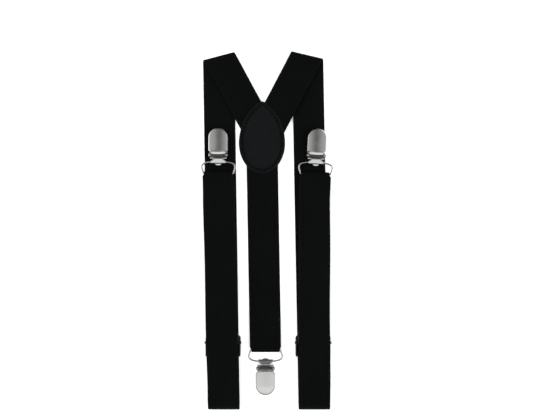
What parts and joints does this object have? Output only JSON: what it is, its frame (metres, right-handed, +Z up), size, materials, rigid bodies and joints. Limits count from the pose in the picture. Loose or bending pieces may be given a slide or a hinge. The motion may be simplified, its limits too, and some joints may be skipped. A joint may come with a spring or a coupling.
{
  "type": "suspenders",
  "caption": "Y-back clip-on trouser suspenders in black elastic webbing with a teardrop leather back patch, folded flat; clips swing, tilt and open, length adjusters slide",
  "frame": {"origin": "under the middle of the object's box, on the surface that it lies on", "axes": "+Y runs up the straps from the bottom folds to the top folds, +Z is up out of the face of the straps, +X is to the wearer's side of the right-hand strap as seen from above"},
  "size_m": [0.1052, 0.2848, 0.0105],
  "materials": {
    "webbing": "black ribbed elastic webbing, matte",
    "leather": "black fine-grained leather, soft sheen",
    "nickel": "polished nickel plate",
    "black_enamel": "black enamelled pressed steel",
    "spring_steel": "plain spring steel",
    "grip_plastic": "moulded off-white plastic"
  },
  "bodies": {
    "root": {"left_front_strap": "webbing", "right_front_strap": "webbing", "back_strap": "webbing", "left_strap_tail": "webbing", "right_strap_tail": "webbing", "patch_front": "leather", "patch_back": "leather"},
    "left_bail": {"left_clip_bail": "nickel"},
    "left_clip": {"left_clip_base_plate": "nickel", "left_clip_base_pad": "grip_plastic", "left_clip_spring": "spring_steel", "left_clip_hinge_pin": "nickel"},
    "left_cover": {"left_clip_cover": "nickel", "left_clip_cover_pad": "grip_plastic"},
    "right_bail": {"right_clip_bail": "nickel"},
    "right_clip": {"right_clip_base_plate": "nickel", "right_clip_base_pad": "grip_plastic", "right_clip_spring": "spring_steel", "right_clip_hinge_pin": "nickel"},
    "right_cover": {"right_clip_cover": "nickel", "right_clip_cover_pad": "grip_plastic"},
    "back_bail": {"back_clip_bail": "nickel"},
    "back_clip": {"back_clip_base_plate": "nickel", "back_clip_base_pad": "grip_plastic", "back_clip_spring": "spring_steel", "back_clip_hinge_pin": "nickel"},
    "back_cover": {"back_clip_cover": "nickel", "back_clip_cover_pad": "grip_plastic"},
    "left_adjuster": {"left_adjuster_frame": "black_enamel", "left_adjuster_pin": "black_enamel"},
    "left_lever": {"left_adjuster_lever": "black_enamel"},
    "right_adjuster": {"right_adjuster_frame": "black_enamel", "right_adjuster_pin": "black_enamel"},
    "right_lever": {"right_adjuster_lever": "black_enamel"}
  },
  "joints": [
    {"name": "left_bail_swing", "type": "hinge", "parent": "root", "child": "left_bail", "pos_m": [-0.03881, 0.04472, 0.0037], "axis": [1, 0, 0], "range_deg": [0, 65]},
    {"name": "left_clip_tilt", "type": "hinge", "parent": "left_bail", "child": "left_clip", "pos_m": [-0.03881, 0.05422, 0.0037], "axis": [1, 0, 0], "range_deg": [0, 35]},
    {"name": "left_cover_flip", "type": "hinge", "parent": "left_clip", "child": "left_cover", "pos_m": [-0.03881, 0.05962, 0.0054], "axis": [1, 0, 0], "range_deg": [0, 90]},
    {"name": "right_bail_swing", "type": "hinge", "parent": "root", "child": "right_bail", "pos_m": [0.03829, 0.04422, 0.0037], "axis": [0.9986, -0.0523, 0], "range_deg": [0, 65]},
    {"name": "right_clip_tilt", "type": "hinge", "parent": "right_bail", "child": "right_clip", "pos_m": [0.03879, 0.05371, 0.0037], "axis": [0.9986, -0.0523, 0], "range_deg": [0, 35]},
    {"name": "right_cover_flip", "type": "hinge", "parent": "right_clip", "child": "right_cover", "pos_m": [0.03907, 0.0591, 0.0054], "axis": [0.9986, -0.0523, 0], "range_deg": [0, 90]},
    {"name": "back_bail_swing", "type": "hinge", "parent": "root", "child": "back_bail", "pos_m": [-0.00131, -0.09498, 0.0022], "axis": [-1, 0, 0], "range_deg": [0, 65]},
    {"name": "back_clip_tilt", "type": "hinge", "parent": "back_bail", "child": "back_clip", "pos_m": [-0.00131, -0.10448, 0.0022], "axis": [-1, 0, 0], "range_deg": [0, 35]},
    {"name": "back_cover_flip", "type": "hinge", "parent": "back_clip", "child": "back_cover", "pos_m": [-0.00131, -0.10988, 0.0039], "axis": [-1, 0, 0], "range_deg": [0, 90]},
    {"name": "left_adjuster_slide", "type": "slide", "parent": "root", "child": "left_adjuster", "axis": [-0.0157, 0.9999, 0], "range_m": [0, 0.02], "deforming": ["left_strap_tail"]},
    {"name": "left_lever_lift", "type": "hinge", "parent": "left_adjuster", "child": "left_lever", "pos_m": [-0.03507, -0.08938, 0.0043], "axis": [1, 0, 0], "range_deg": [0, 20]},
    {"name": "right_adjuster_slide", "type": "slide", "parent": "root", "child": "right_adjuster", "axis": [-0.0188, 0.9998, 0], "range_m": [0, 0.02], "deforming": ["right_strap_tail"]},
    {"name": "right_lever_lift", "type": "hinge", "parent": "right_adjuster", "child": "right_lever", "pos_m": [0.03655, -0.08938, 0.0043], "axis": [1, 0, 0], "range_deg": [0, 20]}
  ]
}
